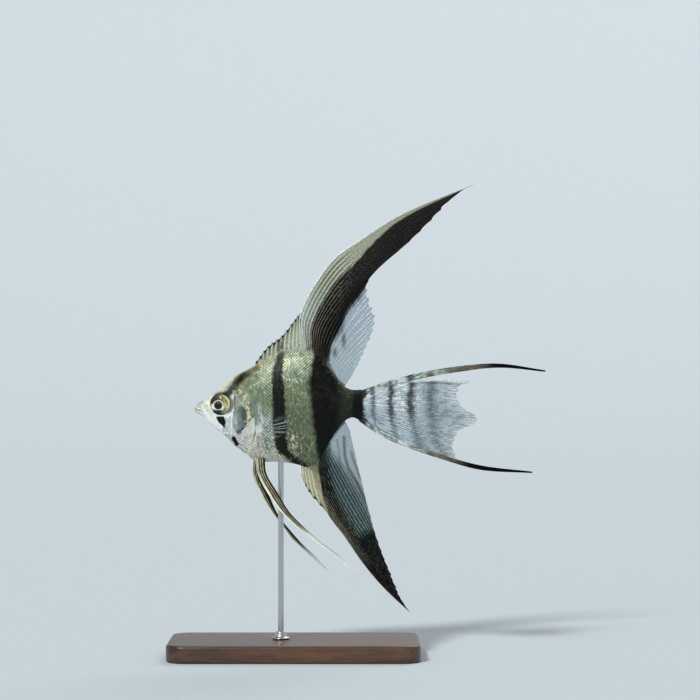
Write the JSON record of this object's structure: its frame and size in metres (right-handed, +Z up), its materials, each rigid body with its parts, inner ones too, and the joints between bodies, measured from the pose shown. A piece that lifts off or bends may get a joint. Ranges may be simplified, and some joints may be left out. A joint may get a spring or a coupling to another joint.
{
  "type": "freshwater angelfish",
  "caption": "Life-size still model of a black-barred silver angelfish with long sickle fins and trailing streamers, held on a rod above a flat wooden base.",
  "frame": {"origin": "middle of the underside of the stand's base, on the floor", "axes": "+Z up, -X the way the head points, -Y out of the fish's left side"},
  "size_m": [0.1744, 0.06, 0.2187],
  "materials": {
    "skin_silver": "moist scaled skin, silvery green with black bars",
    "skin_dark": "moist scaled skin, olive black",
    "fin_membrane": "thin clear membrane over pale rays",
    "fin_dark": "thin dark membrane over fine rays",
    "fin_streamer": "cream and olive streamer with a dark hind edge",
    "eye": "wet glassy eye with a gold-olive iris",
    "stand_wood": "dark stained wood, satin varnish",
    "stand_steel": "brushed steel"
  },
  "bodies": {
    "root": {"head": "skin_silver", "lower_jaw": "skin_silver", "gill_cover_left": "skin_silver", "gill_cover_right": "skin_silver", "trunk": "skin_silver", "tail_stalk": "skin_dark", "eye_left": "eye", "eye_right": "eye", "dorsal_fin": "fin_dark", "anal_fin": "fin_dark", "caudal_fin": "fin_membrane", "caudal_streamer_upper": "fin_dark", "caudal_streamer_lower": "fin_dark", "pectoral_fin_left": "fin_membrane", "pectoral_fin_right": "fin_membrane", "pelvic_fin_left": "fin_streamer", "pelvic_fin_right": "fin_streamer", "stand_base": "stand_wood", "stand_rod": "stand_steel", "stand_ferrule": "stand_steel"}
  },
  "joints": []
}
